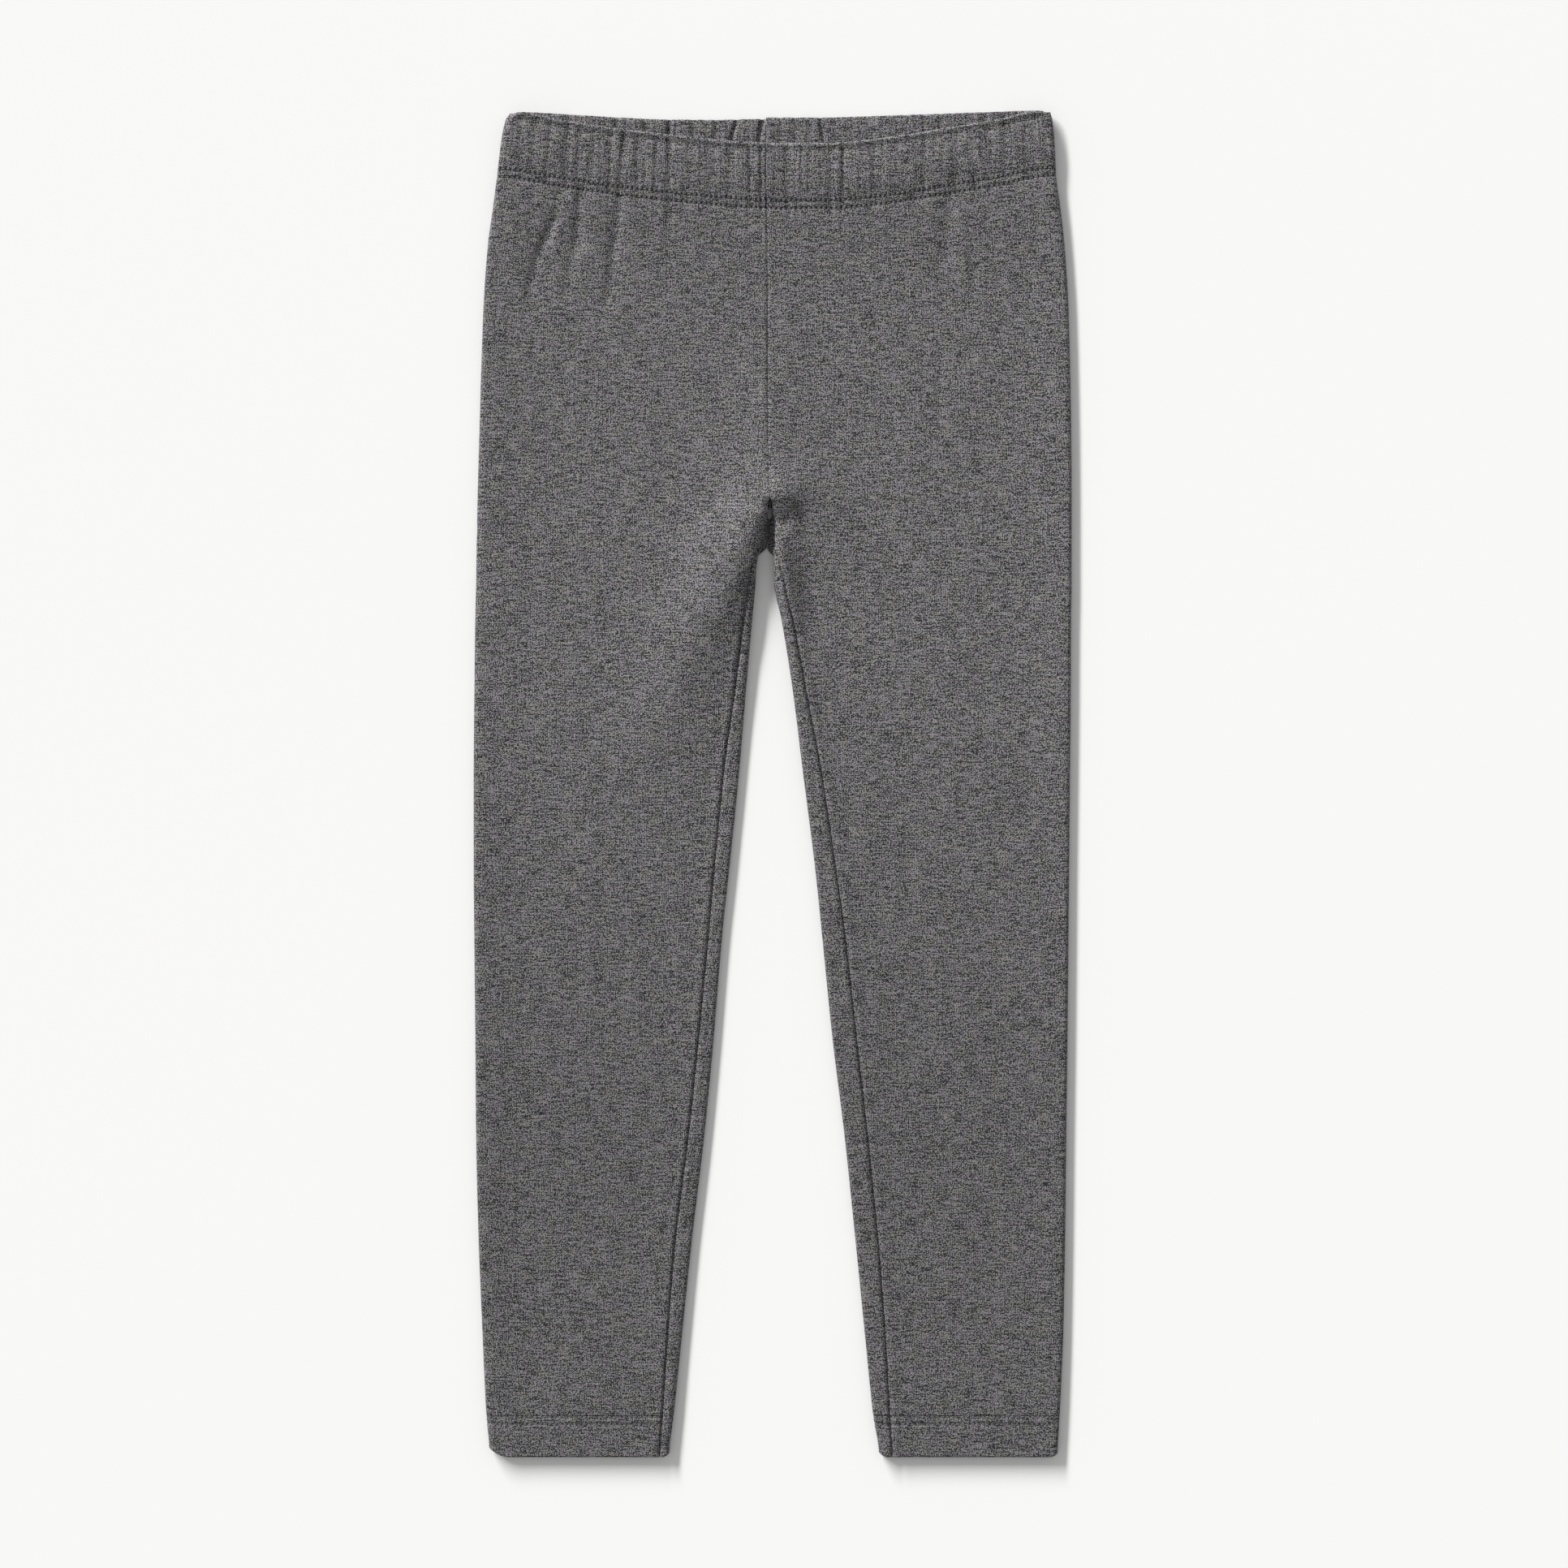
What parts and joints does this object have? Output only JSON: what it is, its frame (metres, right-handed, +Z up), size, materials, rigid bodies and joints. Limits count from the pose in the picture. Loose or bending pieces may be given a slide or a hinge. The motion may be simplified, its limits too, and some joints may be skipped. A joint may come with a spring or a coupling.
{
  "type": "leggings",
  "caption": "Child's ankle-length leggings in grey marl jersey, laid flat on their back, with a gathered elastic waist and turned-up hems.",
  "frame": {"origin": "middle of the garment's box in plan, on the surface that it lies on", "axes": "+X towards the wearer's left, +Y up the legs to the waist, +Z up from the surface, out of the front of the leggings"},
  "size_m": [0.2878, 0.6472, 0.0074],
  "materials": {
    "jersey": "soft cotton jersey in grey marl, fine vertical wales with short level flecks of light and dark fibre, matt",
    "jersey_casing": "the same jersey doubled over flat elastic, gathered, with two rows of stitches at its foot",
    "jersey_hem": "the same jersey turned up inside the ankle, with two rows of stitches at its top",
    "thread": "grey polyester sewing thread"
  },
  "bodies": {
    "root": {"leg_panel_left": "jersey", "leg_panel_right": "jersey", "waistband_left": "jersey_casing", "waistband_right": "jersey_casing", "hem_left": "jersey_hem", "hem_right": "jersey_hem"}
  },
  "joints": []
}
